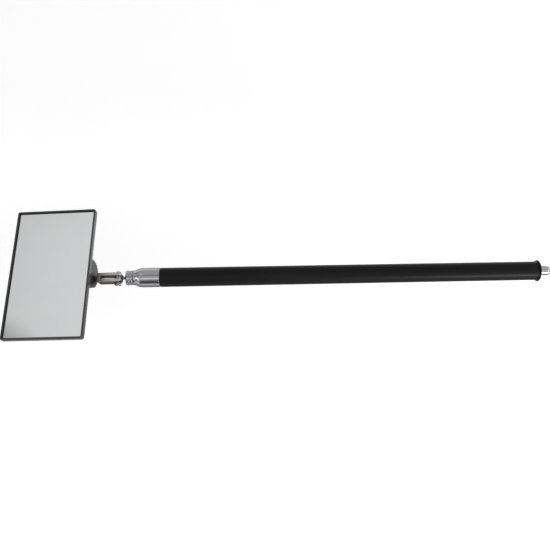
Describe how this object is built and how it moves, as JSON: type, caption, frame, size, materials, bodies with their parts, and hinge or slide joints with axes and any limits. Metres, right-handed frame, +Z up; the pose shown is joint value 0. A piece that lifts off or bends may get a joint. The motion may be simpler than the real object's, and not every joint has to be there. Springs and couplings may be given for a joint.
{
  "type": "telescoping inspection mirror",
  "caption": "Rectangular framed mirror on a clamp-link swivel joint at the end of a telescoping rod with a long black sleeved handle and a chrome end knob.",
  "frame": {"origin": "middle of the flat tip of the end knob, at the butt end of the handle", "axes": "+X along the handle, out of its butt end, so the mirror is at -X; +Z up, off the surface that the tool lies on; +Y sideways, along the mirror's long side"},
  "size_m": [0.3717, 0.0898, 0.0309],
  "materials": {
    "chrome": "bright chrome plate",
    "steel": "plain satin steel",
    "black_steel": "gloss black enamel",
    "pvc_grip": "smooth satin black vinyl",
    "black_plastic": "moulded black",
    "brass": "turned",
    "mirror": "silvered glass",
    "rubber": "black rubber gasket",
    "foam": "closed-cell foam"
  },
  "bodies": {
    "handle": {"end_knob": "chrome", "end_cap": "black_plastic", "end_plug": "steel", "handle_tube": "steel", "grip_sleeve": "pvc_grip", "front_ferrule": "chrome", "guide_bush": "brass"},
    "section_1": {"section_1_tube": "chrome", "section_1_friction_bush": "brass"},
    "section_2": {"section_2_tube": "chrome", "section_2_friction_bush": "brass"},
    "carriage": {"rod_friction_bush": "brass"},
    "rod": {"inner_rod": "chrome", "pull_collar": "chrome", "rod_eye": "steel"},
    "link": {"clamp_link": "steel", "pivot_screw": "steel", "pivot_spring_washer": "steel", "pivot_nut": "steel", "swivel_rivet": "steel", "swivel_washer": "steel", "swivel_wave_washer": "steel"},
    "mirror_head": {"ear_bracket": "steel", "bracket_rivet_1": "steel", "bracket_rivet_2": "steel", "mirror_tray": "black_steel", "edge_gasket": "rubber", "backing_pad": "foam", "mirror_glass": "mirror"}
  },
  "joints": [
    {"name": "section_1_slide", "type": "slide", "parent": "handle", "child": "section_1", "axis": [-1, 0, 0], "range_m": [0, 0.185]},
    {"name": "section_2_slide", "type": "slide", "parent": "section_1", "child": "section_2", "axis": [-1, 0, 0], "range_m": [0, 0.185]},
    {"name": "rod_slide", "type": "slide", "parent": "section_2", "child": "carriage", "axis": [-1, 0, 0], "range_m": [0, 0.185]},
    {"name": "rod_spin", "type": "hinge", "parent": "carriage", "child": "rod", "pos_m": [-0.29, 0, 0], "axis": [1, 0, 0], "continuous": true},
    {"name": "knuckle_pivot", "type": "hinge", "parent": "rod", "child": "link", "pos_m": [-0.2994, 0, 0], "axis": [0.039, 0.9904, -0.1323], "range_deg": [-80, 100]},
    {"name": "mirror_swivel", "type": "hinge", "parent": "link", "child": "mirror_head", "pos_m": [-0.31416, 0.00023, -0.00266], "axis": [0.984, -0.0151, 0.1773], "continuous": true}
  ]
}
